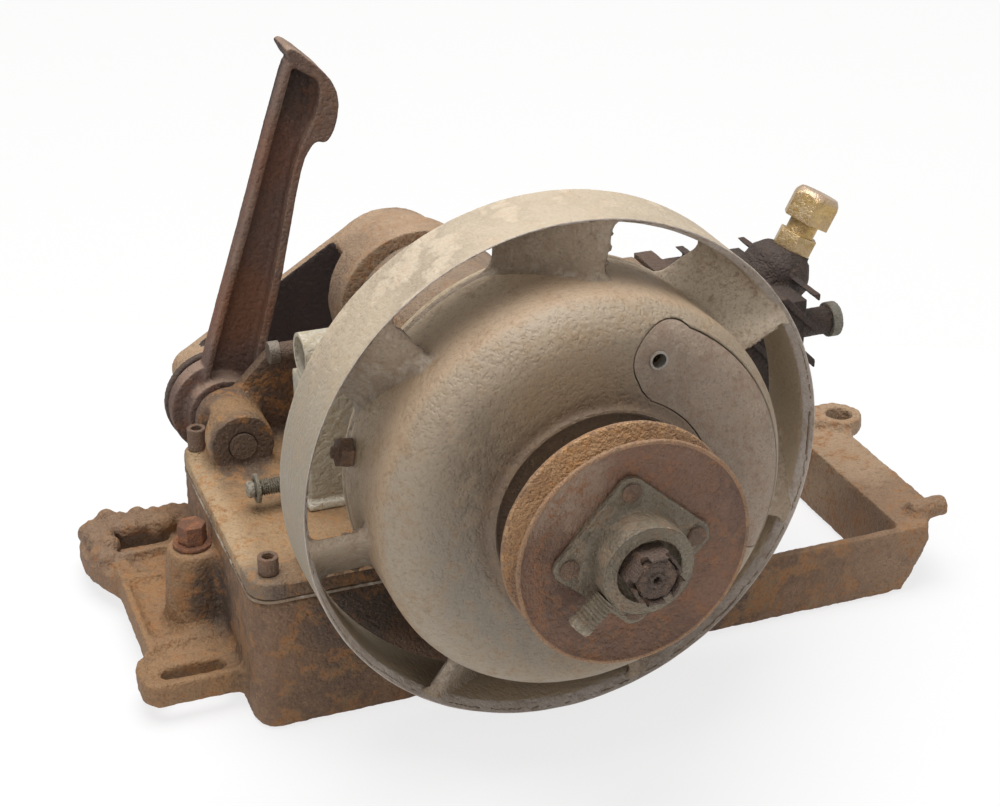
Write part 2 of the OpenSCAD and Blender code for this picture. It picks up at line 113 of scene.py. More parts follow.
# the top lies just under the floor line, so that the feet never flicker in it
drop = Vector((0, 0, -0.0006))
table_corners = [
    middle - along * 3 + towards * 4 + drop, middle + along * 3 + towards * 4 + drop,
    middle - along * 3 + drop, middle + along * 3 + drop]
staged_sheet("table_top", table_corners, tint=(0.965, 0.96, 0.962), glow=0.80)
deeper = Vector((0, 0, -0.02))
backdrop_corners = [
    middle - along * 4 + deeper, middle + along * 4 + deeper,
    middle - along * 4 - towards * 4 + deeper, middle + along * 4 - towards * 4 + deeper]
staged_sheet("backdrop", backdrop_corners, tint=(0.985, 0.985, 0.98), glow=0.92)

# Studio light: an even white world, a broad lamp overhead and a soft one at
# the front left, beside the camera.
world = bpy.data.worlds.new("studio")
bpy.context.scene.world = world
world.use_nodes = True
world.node_tree.nodes["Background"].inputs[0].default_value = (1, 1, 1, 1)
world.node_tree.nodes["Background"].inputs[1].default_value = 0.43
for name, spot, width, depth, power in (
        ("top_lamp", (-0.12, 0.12, 1.7), 1.4, 1.1, 33),
        ("front_lamp", (-0.9, -1.5, 1.0), 1.2, 1.0, 4)):
    bpy.ops.object.light_add(type="AREA", location=spot)
    lamp = bpy.context.object
    lamp.name = name
    lamp.data.shape = "RECTANGLE"
    lamp.data.size = width
    lamp.data.size_y = depth
    lamp.data.energy = power
    lamp.rotation_euler = (Vector((0, 0, 0.1)) - lamp.location).to_track_quat("-Z", "Y").to_euler()
bpy.context.scene.view_settings.view_transform = "Standard"


# Tank base: one rough grey-iron casting with the tank box, the slotted
# mounting flange on the left and the open frame on the right, rusted brown,
# with a crust of old dirt baked on its far foot.
def aged_metal(
        name, body, dark, pale, rust, stain=0.8, bloom=0.3, speckle=0.6, rusty=0.6, grain=1.0, pits=0.5,
        rough=0.75, metal=0.0, dust=0.0, wear=0.0, grime_and_shade=0.6, scale=1.0, washes=()):
    """Old metal: dark stains, pale oxide, rust and fine speckle over the body
    colour, a cast or pitted grain, dust on upward faces, grime and painted shade in the hollows,
    bright worn edges, and washes of colour over parts of the piece."""
    paint = bpy.data.materials.new(name)
    paint.use_nodes = True
    tree = paint.node_tree
    nodes, link = tree.nodes, tree.links.new
    shader = nodes["Principled BSDF"]
    shader.inputs["Metallic"].default_value = metal
    coord = nodes.new("ShaderNodeTexCoord")

    def noise(size, detail, roughness=0.6):
        tex = nodes.new("ShaderNodeTexNoise")
        tex.inputs["Scale"].default_value = size * scale
        tex.inputs["Detail"].default_value = detail
        tex.inputs["Roughness"].default_value = roughness
        link(coord.outputs["Object"], tex.inputs["Vector"])
        return tex.outputs["Fac"]

    def ramp(value, low, high):
        step = nodes.new("ShaderNodeMapRange")
        step.interpolation_type = "SMOOTHSTEP"
        step.inputs["From Min"].default_value = low
        step.inputs["From Max"].default_value = high
        link(value, step.inputs["Value"])
        return step.outputs["Result"]

    def combine(kind, first, second):
        sum_up = nodes.new("ShaderNodeMath")
        sum_up.operation = kind
        for socket, value in ((sum_up.inputs[0], first), (sum_up.inputs[1], second)):
            if isinstance(value, (int, float)):
                socket.default_value = value
            else:
                link(value, socket)
        return sum_up.outputs[0]

    def vector(kind, first, second):
        step = nodes.new("ShaderNodeVectorMath")
        step.operation = kind
        link(first, step.inputs[0])
        step.inputs[1].default_value = second
        return step.outputs["Value"] if kind in ("DOT_PRODUCT", "LENGTH") else step.outputs["Vector"]

    def mix(mask, first, second, amount=1.0):
        blend = nodes.new("ShaderNodeMix")
        blend.data_type = "RGBA"
        link(combine("MULTIPLY", mask, amount), blend.inputs["Factor"])
        for socket, colour in ((blend.inputs["A"], first), (blend.inputs["B"], second)):
            if isinstance(colour, tuple):
                socket.default_value = (*colour, 1)
            else:
                link(colour, socket)
        return blend.outputs["Result"]

    # four sizes of pattern, from broad stains down to single specks
    broad, patch, fine, speck = noise(16, 2), noise(62, 3, 0.68), noise(270, 2, 0.7), noise(1000, 0)
    colour = mix(
        ramp(combine("ADD", combine("MULTIPLY", broad, 0.6), combine("MULTIPLY", patch, 0.4)), 0.44, 0.62),
        body, dark, 0.85 * stain)
    colour = mix(
        ramp(combine("MULTIPLY", patch, combine("ADD", broad, 0.5)), 0.50, 0.66),
        colour, pale, bloom)
    # washes: "along" a direction, "round" the line through a point that runs
    # to the back, or "near" a point; each grows from the first number to the second
    for kind, place, start, full, tint, amount in washes:
        if kind == "along":
            reach = vector("DOT_PRODUCT", coord.outputs["Object"], place)
        else:
            reach = vector("SUBTRACT", coord.outputs["Object"], place)
            if kind == "round":
                reach = vector("MULTIPLY", reach, (1, 0, 1))
            reach = vector("LENGTH", reach, (0, 0, 0))
        loose = min(0.02, 1.2 * abs(full - start))
        ragged = combine("ADD", patch, combine("MULTIPLY", fine, 0.4))
        ragged = combine("MULTIPLY", combine("SUBTRACT", ragged, 0.7), loose)
        reach = combine("ADD", reach, ragged)
        colour = mix(ramp(reach, start, full), colour, tint, amount)
    colour = mix(combine("MULTIPLY", ramp(patch, 0.46, 0.62), ramp(fine, 0.36, 0.60)), colour, rust, rusty)
    colour = mix(ramp(fine, 0.52, 0.74), colour, dark, 0.55 * speckle)
    colour = mix(ramp(speck, 0.56, 0.80), colour, dark, 0.5 * speckle)
    colour = mix(
        combine("MULTIPLY", ramp(speck, 0.40, 0.26), ramp(patch, 0.56, 0.40)),
        colour, pale, 0.3 * speckle)
    shape = nodes.new("ShaderNodeNewGeometry")
    if dust:
        split = nodes.new("ShaderNodeSeparateXYZ")
        link(coord.outputs["Normal"], split.inputs[0])
        upward_face = ramp(combine("ADD", split.outputs["Z"], combine("MULTIPLY", patch, 0.5)), 0.55, 1.2)
        colour = mix(upward_face, colour, pale, dust)
    # grime and painted shade: darker in the hollows, where pointiness is low
    if grime_and_shade:
        colour = mix(ramp(shape.outputs["Pointiness"], 0.485, 0.40), colour, dark, grime_and_shade)
    if wear:
        colour = mix(
            combine("MULTIPLY", ramp(shape.outputs["Pointiness"], 0.515, 0.60), ramp(fine, 0.35, 0.6)),
            colour, pale, wear)
    link(colour, shader.inputs["Base Color"])
    gloss = nodes.new("ShaderNodeMapRange")
    gloss.inputs["To Min"].default_value = rough - 0.12
    gloss.inputs["To Max"].default_value = min(1.0, rough + 0.15)
    link(patch, gloss.inputs["Value"])
    link(gloss.outputs["Result"], shader.inputs["Roughness"])
    skin = noise(430, 1, 0.7)
    height = combine("ADD", combine("MULTIPLY", skin, 2.2), combine("MULTIPLY", ramp(skin, 0.34, 0.44), pits))
    bump = nodes.new("ShaderNodeBump")
    bump.inputs["Strength"].default_value = 0.6
    bump.inputs["Distance"].default_value = 0.0008 * grain
    link(height, bump.inputs["Height"])
    link(bump.outputs["Normal"], shader.inputs["Normal"])
    return paint


def modify(piece, kind, **settings):
    """One modifier, added and applied at once."""
    bpy.ops.object.select_all(action="DESELECT")
    piece.select_set(True)
    bpy.context.view_layer.objects.active = piece
    bpy.ops.object.modifier_add(type=kind)
    step = piece.modifiers[-1]
    for key, value in settings.items():
        setattr(step, key, value)
    bpy.ops.object.modifier_apply(modifier=step.name)


def uneven_skin(piece, size, depth, level=0.62):
    """The skin moved in and out by a cloudy pattern, as sand or rust leaves it."""
    texture = bpy.data.textures.new(piece.name + "_skin", type="CLOUDS")
    texture.noise_scale = size
    texture.noise_depth = 2
    modify(piece, "DISPLACE", texture=texture, texture_coords="LOCAL", strength=depth, mid_level=level)


def plain_copy(node, name):
    """A new piece that starts from a node's plain solid, its loose triangles joined."""
    piece = bpy.data.objects.new(name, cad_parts[node].data.copy())
    bpy.context.scene.collection.objects.link(piece)
    bpy.ops.object.select_all(action="DESELECT")
    piece.select_set(True)
    bpy.context.view_layer.objects.active = piece
    bpy.ops.object.mode_set(mode="EDIT")
    bpy.ops.mesh.select_all(action="SELECT")
    bpy.ops.mesh.remove_doubles(threshold=0.00001)
    bpy.ops.object.mode_set(mode="OBJECT")
    return piece


def finish_piece(piece, body, paint, slot, *nodes):
    """Paint, body and the solids that the piece stands for; the slot is not used."""
    piece.data.materials.clear()
    piece.data.materials.append(paint)
    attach(piece, body)
    if nodes:
        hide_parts(*nodes)
    return piece


def recast(piece, voxel, fillet=0.0, smooth=2, swell=0.0003, lumps=0.0):
    """The piece as sand moulding leaves it: hollow corners filled to a
    radius, outer corners softened, the skin slightly uneven."""
    modify(piece, "REMESH", mode="VOXEL", voxel_size=voxel, use_smooth_shade=True)
    if fillet:
        modify(piece, "DISPLACE", strength=fillet, mid_level=0.0)
        modify(piece, "REMESH", mode="VOXEL", voxel_size=voxel, use_smooth_shade=True)
        modify(piece, "DISPLACE", strength=-fillet, mid_level=0.0)
    if smooth:
        modify(piece, "SMOOTH", factor=0.5, iterations=smooth)
    if swell:
        uneven_skin(piece, 0.012, swell)
    if lumps:
        uneven_skin(piece, 0.0028, lumps)
    return piece


def join_into(whole, part):
    """The part, just modelled and still selected, made one with the whole."""
    bpy.ops.object.transform_apply(location=True, rotation=True, scale=True)
    bpy.ops.object.select_all(action="DESELECT")
    part.select_set(True)
    whole.select_set(True)
    bpy.context.view_layer.objects.active = whole
    bpy.ops.object.join()


base_paint = aged_metal(
    "rusted_base_iron", body=(0.185, 0.105, 0.060), dark=(0.066, 0.038, 0.025), pale=(0.40, 0.25, 0.125),
    rust=(0.30, 0.130, 0.042), dust=0.08, wear=0.5, speckle=0.7, rusty=0.7, stain=0.95, bloom=0.35,
    washes=(
        ("along", (1, 0, 0), -0.166, -0.184, (0.275, 0.152, 0.064), 0.62),
        ("near", (-0.1735, 0.0265, 0.040), 0.022, 0.012, (0.040, 0.030, 0.025), 0.8),
        ("near", (-0.120, -0.038, 0.056), 0.040, 0.010, (0.042, 0.030, 0.024), 0.8),
        ("near", (-0.060, -0.038, 0.030), 0.050, 0.020, (0.115, 0.066, 0.044), 0.6),
        ("near", (-0.225, 0.135, 0.018), 0.052, 0.030, (0.185, 0.120, 0.080), 0.75),
        ("along", (1, 0, 0), 0.10, 0.19, (0.265, 0.165, 0.098), 0.7),
        ("near", (0.200, 0.070, 0.054), 0.066, 0.040, (0.46, 0.325, 0.205), 0.5)))
base_piece = plain_copy("base_casting", "tank_base")
foot_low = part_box("base_casting")[0]
flange_x, flange_y = foot_low[0], foot_low[1] - 0.046
# ridges and borders of the flange: (x from, x to, y from, y to, z from, z to)
for x0, x1, y0, y1, z0, z1 in (
        (0.0130, 0.0175, 0.098, 0.182, 0.016, 0.0245),
        (0.013, 0.055, 0.1035, 0.1065, 0.019, 0.0235),
        (0.012, 0.058, 0.070, 0.0735, 0.017, 0.0222),
        (0.006, 0.060, 0.190, 0.1945, 0.019, 0.0265),
        (0.0065, 0.0100, 0.076, 0.098, 0.016, 0.0215)):
    bpy.ops.mesh.primitive_cube_add(
        size=1.0,
        location=(flange_x + (x0 + x1) / 2, flange_y + (y0 + y1) / 2, (z0 + z1) / 2))
    bpy.ops.transform.resize(value=(x1 - x0, y1 - y0, z1 - z0))
    join_into(base_piece, bpy.context.object)
recast(base_piece, voxel=0.0016, fillet=0.0018, swell=0.0005)
# crust: lumps strewn on the far foot, in three rows along its far edge, two
# along its left edge and one that slants forwards; sines of uneven steps
# scatter them the same way each time
crust_rows, crust_steps = 6, 25
for i in range(crust_rows * crust_steps):
    row = i % crust_rows
    u = (i // crust_rows) / (crust_steps - 1.0)
    wobble = math.sin(i * 12.9898) * 0.5 + math.sin(i * 78.233) * 0.5
    other = math.cos(i * 37.719) * 0.6
    if row < 3:
        spot = (
            flange_x + 0.009 + u * 0.060 + wobble * 0.002, flange_y + 0.229 - row * 0.0060 + other * 0.003,
            0.0240 + 0.0026 * wobble)
    elif row < 5:
        spot = (
            flange_x + 0.0085 + other * 0.0025 + (row - 3) * 0.005, flange_y + 0.196 + u * 0.034,
            0.0180 + 0.008 * wobble)
    else:
        spot = (flange_x + 0.0085 + u * 0.014, flange_y + 0.200 - u * 0.022, 0.0165 + 0.006 * wobble)
    bpy.ops.mesh.primitive_ico_sphere_add(
        subdivisions=2, radius=0.0030 + 0.0030 * abs(math.sin(i * 5.31)) ** 3, location=spot)
    join_into(base_piece, bpy.context.object)
recast(base_piece, voxel=0.0012, smooth=1, swell=0.0, lumps=0.0006)
# rust swells it once more, and the underside stays flat on the floor
uneven_skin(base_piece, size=0.0065, depth=0.0008)
for vertex in base_piece.data.vertices:
    vertex.co.z = max(vertex.co.z, 0.0)
finish_piece(base_piece, "engine", base_paint, "base_iron", "base_casting")


# Gasket: a sheet of old jointing cut to the outline of the two castings and
# squeezed between them by the screws of the upper one.
def refinish(node, paint):
    """A plain solid whose shape is right keeps it and gets its real finish."""
    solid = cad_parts[node]
    for place in solid.material_slots:
        place.material = paint


refinish(
    "tank_gasket",
    aged_metal(
        "old_jointing", body=(0.24, 0.17, 0.11), dark=(0.08, 0.05, 0.035), pale=(0.60, 0.52, 0.42),
        rust=(0.20, 0.11, 0.06), grain=0.4, bloom=0.8))

# Upper casting: the tank cover with the boss of the kick shaft and the saddle
# of the crankcase, tan with dust and dried oil on its top.
upper_paint = aged_metal(
    "dusty_tan_iron", body=(0.240, 0.136, 0.062), dark=(0.080, 0.045, 0.026), pale=(0.43, 0.29, 0.15),
    rust=(0.34, 0.155, 0.050), stain=1.0, dust=0.08, wear=0.4, speckle=0.7, rusty=0.75,
    washes=(
        ("near", (-0.140, 0.010, 0.082), 0.046, 0.014, (0.38, 0.25, 0.130), 0.4),
        ("along", (-1, 0, 0), 0.156, 0.166, (0.47, 0.335, 0.195), 0.6),
        ("along", (0, -1, 0), 0.0355, 0.0385, (0.105, 0.064, 0.042), 0.75),
        ("near", (-0.100, -0.042, 0.078), 0.028, 0.012, (0.070, 0.048, 0.036), 0.8),
        ("near", (-0.166, -0.030, 0.075), 0.022, 0.008, (0.085, 0.062, 0.050), 0.7),
        ("along", (0, 1, 0), 0.098, 0.1045, (0.085, 0.055, 0.042), 0.85),
        ("near", (-0.14525, 0.0765, 0.094), 0.019, 0.0155, (0.078, 0.050, 0.036), 0.9)))
upper_piece = recast(
    plain_copy("upper_casting", "tank_cover"), voxel=0.0014, fillet=0.003, swell=0.0005, lumps=0.0002)
finish_piece(upper_piece, "engine", upper_paint, "upper_iron", "upper_casting")

# Screws that hold the upper casting down, and the bolt with its washer on the
# mounting flange: plain steel, their edges eaten round by rust.
screw_paint = aged_metal(
    "rusty_screw", body=(0.155, 0.095, 0.062), dark=(0.06, 0.040, 0.03), pale=(0.34, 0.25, 0.18),
    rust=(0.24, 0.11, 0.05), scale=2, wear=0.3)
bolt_paint = aged_metal(
    "orange_rust", body=(0.150, 0.063, 0.032), dark=(0.065, 0.031, 0.021), pale=(0.36, 0.19, 0.10),
    rust=(0.36, 0.13, 0.042), scale=2)
for node, voxel, paint, slot in (
        ("front_cap_screw", 0.0004, screw_paint, "screw_steel"),
        ("rear_cap_screw", 0.0004, screw_paint, "screw_steel"),
        ("flange_bolt", 0.0005, bolt_paint, "rusty_steel"),
        ("bolt_washer", 0.0004, bolt_paint, "rusty_steel")):
    finish_piece(
        recast(plain_copy(node, node + "_worn"), voxel=voxel, smooth=2, swell=0.0002, lumps=0.0003),
        "engine", paint, slot, node)

# Crankcase: a dusty iron casting seated on the saddle of the upper one. The
# plate on its front is flat oxidised metal, mostly hidden by the flywheel.
case_paint = aged_metal(
    "dusty_case", body=(0.22, 0.15, 0.098), dark=(0.085, 0.058, 0.042), pale=(0.42, 0.32, 0.22),
    rust=(0.26, 0.125, 0.05), dust=0.12, stain=0.9, rusty=0.75, wear=0.4)
finish_piece(
    recast(plain_copy("crankcase", "crank_case"), voxel=0.0016, fillet=0.003),
    "engine", case_paint, "case_iron", "crankcase")
refinish(
    "stator_plate",
    aged_metal(
        "oxidised_plate", body=(0.47, 0.38, 0.25), dark=(0.24, 0.18, 0.11), pale=(0.60, 0.52, 0.38),
        rust=(0.38, 0.24, 0.12), grain=0.6))

# Kick starter: a brown iron case behind the crankcase, with a pocket in its
# wall whose floor is painted near-black as painted shade. At its left the kick shaft comes out through a dark
# ring and carries the lever, an iron arm on a disc, with a tread that curls over at its end.
starter_paint = aged_metal(
    "brown_starter_iron", body=(0.35, 0.232, 0.142), dark=(0.135, 0.085, 0.058), pale=(0.52, 0.38, 0.25),
    rust=(0.34, 0.175, 0.075), dust=0.1, stain=0.8, rusty=0.75, bloom=0.4, wear=0.4)
# near-black paint for the painted shade in the pocket
pocket_shade_paint = aged_metal(
    "pocket_painted_shade", body=(0.060, 0.042, 0.038), dark=(0.034, 0.026, 0.026), pale=(0.10, 0.07, 0.06),
    rust=(0.08, 0.048, 0.038))
starter_piece = finish_piece(
    recast(plain_copy("starter_case", "starter_housing"), voxel=0.0013, fillet=0.0015),
    "engine", starter_paint, "starter_iron", "starter_case")
starter_piece.data.materials.append(pocket_shade_paint)
# the floor of its pocket, behind this depth, is painted near-black: painted shade where the lever shades the
# pocket
pocket_floor = 0.168
for face in starter_piece.data.polygons:
    if face.normal.y < -0.6 and face.center.y > pocket_floor:
        face.material_index = 1
ring_iron = aged_metal(
    "dark_ring_iron", body=(0.084, 0.055, 0.042), dark=(0.040, 0.028, 0.022), pale=(0.21, 0.15, 0.115),
    rust=(0.115, 0.062, 0.036))
finish_piece(
    recast(plain_copy("starter_cover", "starter_ring"), voxel=0.0008, smooth=1, swell=0.0002),
    "engine", ring_iron, "starter_iron", "starter_cover")
lever_paint = aged_metal(
    "dark_lever_iron", body=(0.165, 0.098, 0.070), dark=(0.060, 0.038, 0.031), pale=(0.36, 0.25, 0.18),
    rust=(0.19, 0.085, 0.045), wear=0.55, dust=0.55, speckle=0.5,
    washes=(
        ("near", (-0.14525, 0.118, 0.094), 0.046, 0.030, (0.092, 0.056, 0.044), 0.8),
        ("along", (0, 1, 0), 0.1225, 0.1262, (0.115, 0.062, 0.046), 0.9),
        ("near", (-0.1335, 0.1280, 0.150), 0.030, 0.014, (0.165, 0.064, 0.030), 0.75),
        ("near", (-0.1135, 0.1280, 0.232), 0.026, 0.012, (0.150, 0.060, 0.034), 0.65),
        # near-black on the web under the tread and further back: painted shade
        ("along", (0, 1, 0.045), 0.1385, 0.1412, (0.022, 0.016, 0.015), 0.85)))
shaft_end_paint = aged_metal(
    "kick_shaft_steel", body=(0.105, 0.066, 0.046), dark=(0.05, 0.034, 0.026), pale=(0.24, 0.165, 0.11),
    rust=(0.15, 0.078, 0.042), wear=0.3, speckle=0.3, bloom=0.1, scale=2)
refinish("kick_shaft", shaft_end_paint)
finish_piece(
    recast(
        plain_copy("kick_lever", "starter_lever"), voxel=0.0008, fillet=0.0006, smooth=1, swell=0.0003,
        lumps=0.0002),
    "kick", lever_paint, "lever_iron", "kick_lever")

# Cylinder: iron barrel with slanted fins, black with soot and rusting at the
# fin tips; the plug adapter and the brass cap are screwed into its corner.
soot_paint = aged_metal(
    "sooty_fins", body=(0.048, 0.031, 0.024), dark=(0.014, 0.009, 0.008), pale=(0.10, 0.070, 0.052),
    rust=(0.085, 0.046, 0.028), wear=0.12, dust=0.05, speckle=0.7, grime_and_shade=0.9,
    washes=(("along", (-1, 0, 0), -0.088, -0.075, (0.14, 0.085, 0.055), 0.6),))
finish_piece(
    recast(plain_copy("cylinder", "finned_barrel"), voxel=0.0008, smooth=1, swell=0.0004, lumps=0.0003),
    "engine", soot_paint, "cylinder_iron", "cylinder")
brass_paint = aged_metal(
    "dull_brass", body=(0.58, 0.40, 0.155), dark=(0.22, 0.13, 0.050), pale=(0.78, 0.62, 0.42),
    rust=(0.34, 0.205, 0.08), grain=0.35, pits=0.3, metal=0.5, rough=0.42, scale=1.5, wear=0.6,
    washes=(
        ("along", (0.454, 0, 0.891), 0.2525, 0.2565, (0.54, 0.41, 0.31), 0.85),
        ("along", (-0.454, 0, -0.891), -0.2350, -0.2320, (0.36, 0.25, 0.11), 0.8)))
for node in ("plug_adapter", "brass_cap"):
    crisp = plain_copy(node, node + "_worn")
    bpy.ops.object.mode_set(mode="EDIT")
    bpy.ops.mesh.select_all(action="SELECT")
    bpy.ops.mesh.dissolve_limited(angle_limit=math.radians(2))
    bpy.ops.object.mode_set(mode="OBJECT")
    modify(crisp, "BEVEL", width=0.0006, segments=2, limit_method="ANGLE", angle_limit=math.radians(28))
    bpy.ops.object.shade_smooth_by_angle(angle=math.radians(30))
    finish_piece(crisp, "engine", brass_paint, "brass", node)
grey_paint = aged_metal(
    "grey_oxide", body=(0.185, 0.170, 0.135), dark=(0.08, 0.070, 0.056), pale=(0.36, 0.34, 0.28),
    rust=(0.20, 0.12, 0.07))
finish_piece(
    recast(plain_copy("exhaust_flange", "exhaust_stub"), voxel=0.0006, smooth=2),
    "engine", grey_paint, "exhaust_iron", "exhaust_flange")

# Carburettor: soft pot metal gone pale and crumbly at its foot, with the
# intake tube on top and the needle screw at its left.
pot_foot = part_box("carburettor")[0][2]
pot_paint = aged_metal(
    "pale_pot_metal", body=(0.43, 0.385, 0.30), dark=(0.21, 0.18, 0.135), pale=(0.68, 0.62, 0.50),
    rust=(0.36, 0.27, 0.16), grain=0.7, speckle=0.6, bloom=0.5,
    washes=(("along", (0, 0, -1), -pot_foot - 0.0075, -pot_foot - 0.0045, (0.78, 0.76, 0.66), 0.85),))
finish_piece(
    recast(
        plain_copy("carburettor", "carburettor_body"), voxel=0.0009, fillet=0.0015, swell=0.0004,
        lumps=0.0004),
    "engine", pot_paint, "pot_metal", "carburettor")
refinish("intake_tube", pot_paint)
needle_paint = aged_metal(
    "dull_plating", body=(0.19, 0.165, 0.120), dark=(0.065, 0.055, 0.042), pale=(0.46, 0.42, 0.34),
    rust=(0.20, 0.13, 0.07), scale=2, wear=0.6)


def turned(name, profile, centre, direction, steps=128, crease=32):
    """A piece turned on a lathe: a closed outline of (radius, place along the
    axis) in millimetres, spun round the axis through the centre."""
    axis = Vector(direction)
    out = axis.cross(Vector((0, 1, 0))).normalized() if abs(axis.y) < 0.9 else Vector((0, 0, 1))
    bpy.ops.mesh.primitive_plane_add(
        size=0.001,
        location=Vector(centre) + out * profile[0][0] / 1000 + axis * profile[0][1] / 1000)
    piece = bpy.context.object
    piece.name = name
    bpy.ops.object.mode_set(mode="EDIT")
    bpy.ops.mesh.select_all(action="SELECT")
    bpy.ops.mesh.merge(type="CENTER")
    last = profile[0]
    for point in profile[1:] + profile[:1]:
        shift = out * (point[0] - last[0]) / 1000 + axis * (point[1] - last[1]) / 1000
        bpy.ops.mesh.extrude_region_move(TRANSFORM_OT_translate={"value": shift})
        last = point
    bpy.ops.object.mode_set(mode="OBJECT")
    bpy.ops.object.mode_set(mode="EDIT")
    bpy.ops.mesh.select_all(action="SELECT")
    bpy.ops.mesh.spin(steps=steps, angle=2 * math.pi, center=centre, axis=direction, use_auto_merge=True)
    bpy.ops.mesh.select_all(action="SELECT")
    bpy.ops.mesh.remove_doubles(threshold=0.000005)
    bpy.ops.mesh.normals_make_consistent(inside=False)
    bpy.ops.object.mode_set(mode="OBJECT")
    bpy.ops.object.transform_apply(location=True, rotation=True, scale=True)
    bpy.ops.object.shade_smooth_by_angle(angle=math.radians(crease))
    return piece


screw_low, screw_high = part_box("needle_screw")
needle_axis = (screw_low[0], (screw_low[1] + screw_high[1]) / 2, (screw_low[2] + screw_high[2]) / 2)
thread = [(0.02, 0), (3.4, 0), (4.2, 0.7), (4.2, 3.2), (3.2, 3.6)]
pitch_of_thread = 1.25
for i in range(11):
    thread += [(3.3, 4.0 + i * pitch_of_thread), (4.25, 4.6 + i * pitch_of_thread)]
thread += [(3.3, 18.0), (0.02, 18.0)]
finish_piece(
    turned("needle_screw_threaded", thread, needle_axis, (1, 0, 0), steps=40),
    "engine", needle_paint, "needle_metal", "needle_screw")
finish_piece(
    recast(plain_copy("needle_washer", "needle_washer_worn"), voxel=0.0004, smooth=2, lumps=0.0003),
    "engine", needle_paint, "needle_metal", "needle_washer")

# Stop rod: a plain steel bar let into the crankcase, with a turned knob of
# dull metal on its end.
refinish("stop_rod", shaft_end_paint)
knob_paint = aged_metal(
    "dull_knob", body=(0.13, 0.100, 0.075), dark=(0.06, 0.046, 0.036), pale=(0.38, 0.33, 0.27),
    rust=(0.14, 0.085, 0.05), scale=2, dust=0.5)
finish_piece(
    recast(plain_copy("rod_knob", "rod_knob_worn"), voxel=0.0004, smooth=3),
    "engine", knob_paint, "knob_metal", "rod_knob")

# Crankshaft: plain steel, rusted where it shows. It runs in the crankcase and
# carries the flywheel and the pulley.
shaft_paint = aged_metal(
    "rusty_shaft", body=(0.15, 0.095, 0.065), dark=(0.065, 0.042, 0.033), pale=(0.26, 0.18, 0.13),
    rust=(0.22, 0.09, 0.04), scale=2)
refinish("crankshaft", shaft_paint)

# Fan flywheel, one aluminium casting: the rim and the bowl are turned pieces
# with cast skins, the rim machined bright on its front edge and painted lighter there as painted light, and
# seven slanted blades run between them with generous fillets.
wheel_low, wheel_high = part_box("flywheel")
crank_x, crank_z = (wheel_low[0] + wheel_high[0]) / 2, (wheel_low[2] + wheel_high[2]) / 2
rim_front = -0.084
wheel_front = (crank_x, rim_front, crank_z)
wheel_paint = aged_metal(
    "oxidised_aluminium", body=(0.42, 0.342, 0.245), dark=(0.25, 0.187, 0.130), pale=(0.66, 0.57, 0.44),
    rust=(0.42, 0.285, 0.165), stain=0.85, bloom=0.5, rusty=0.4, grain=0.5, pits=0.4, rough=0.6, dust=0.12,
    wear=0.3, speckle=0.4,
    washes=(
        ("along", (-0.93, 0, -0.37), 0.035, 0.085, (0.265, 0.225, 0.168), 0.85),
        ("along", (0, 0, -1), 0.02, 0.12, (0.34, 0.265, 0.19), 0.6)))
lit_edge_paint = aged_metal(
    "machined_edge_painted_light", body=(0.46, 0.405, 0.36), dark=(0.25, 0.21, 0.18), pale=(0.70, 0.64, 0.585),
    rust=(0.34, 0.26, 0.19), grain=0.5, pits=0.5, speckle=0.7)
rim_line = [(125.0, 38.0 - 1.9 * i) for i in range(20)]
rim_line += [
    (125.0, 0.7), (124.85, 0.2), (124.5, 0.0), (124.2, 0.15), (123.3, 1.8), (122.4, 3.5), (121.55, 5.1),
    (121.25, 6.0), (121.15, 8.0)]
rim_line += [(121.1 - 0.02 * i, 10.0 + 2.0 * i) for i in range(14)]
rim_line += [(120.8, 38.0), (123.0, 38.0)]
rim_piece = turned("turned_rim", rim_line, wheel_front, (0, 1, 0), steps=360)
uneven_skin(rim_piece, size=0.016, depth=0.0004, level=0.8)
finish_piece(rim_piece, "rotor", wheel_paint, "wheel_alloy")
rim_piece.data.materials.append(lit_edge_paint)
# its front edge, ahead of this depth, was machined, and its paint is lighter still: painted light
machined_to = -0.070
for face in rim_piece.data.polygons:
    if face.normal.y < -0.3 and face.center.y < machined_to:
        face.material_index = 1

# the bowl, with the seat of its inspection cover and the hole of its screw
bowl_line = [
    (9.6, -27.0), (20.0, -27.0), (34.0, -27.0), (44.0, -27.0), (46.3, -27.4), (47.2, -29.0), (47.7, -31.5),
    (48.3, -32.9), (49.3, -33.5), (50.3, -33.1), (51.0, -31.9), (52.0, -31.2)]
bowl_line += [(54.0 + 1.95 * i, -31.0) for i in range(12)]
bowl_line += [
    (77.5 + 19.0 * math.sin(math.radians(6 * i)), -12.0 - 19.0 * math.cos(math.radians(6 * i)))
    for i in range(1, 16)]
bowl_line += [(96.5 - 0.02 * i, -10.0 + 2.0 * i) for i in range(22)]
bowl_line += [
    (96.0, 32.6), (95.5, 33.3), (95.3, 34.2), (95.7, 35.1), (96.3, 35.8), (96.3, 37.2), (95.7, 38.0)]
bowl_line += [
    (91.5, 38.0), (91.4, 20.0), (91.3, -9.0), (88.0, -18.0), (82.0, -24.0), (74.0, -26.0), (52.0, -25.6),
    (50.0, -22.0), (26.0, -21.5), (24.0, -20.0), (24.0, 34.0), (9.6, 34.0)]
bowl_piece = turned("bowl_casting", bowl_line, wheel_front, (0, 1, 0), steps=300)
cutter = plain_copy("inspection_cover", "cover_cutter")
modify(cutter, "DISPLACE", strength=0.0008, mid_level=0.0)
modify(bowl_piece, "BOOLEAN", object=cutter, operation="DIFFERENCE", solver="EXACT")
bpy.data.objects.remove(cutter)
bpy.ops.object.select_all(action="DESELECT")
screw_hole = (crank_x + 0.0258, -0.110, crank_z + 0.0694)
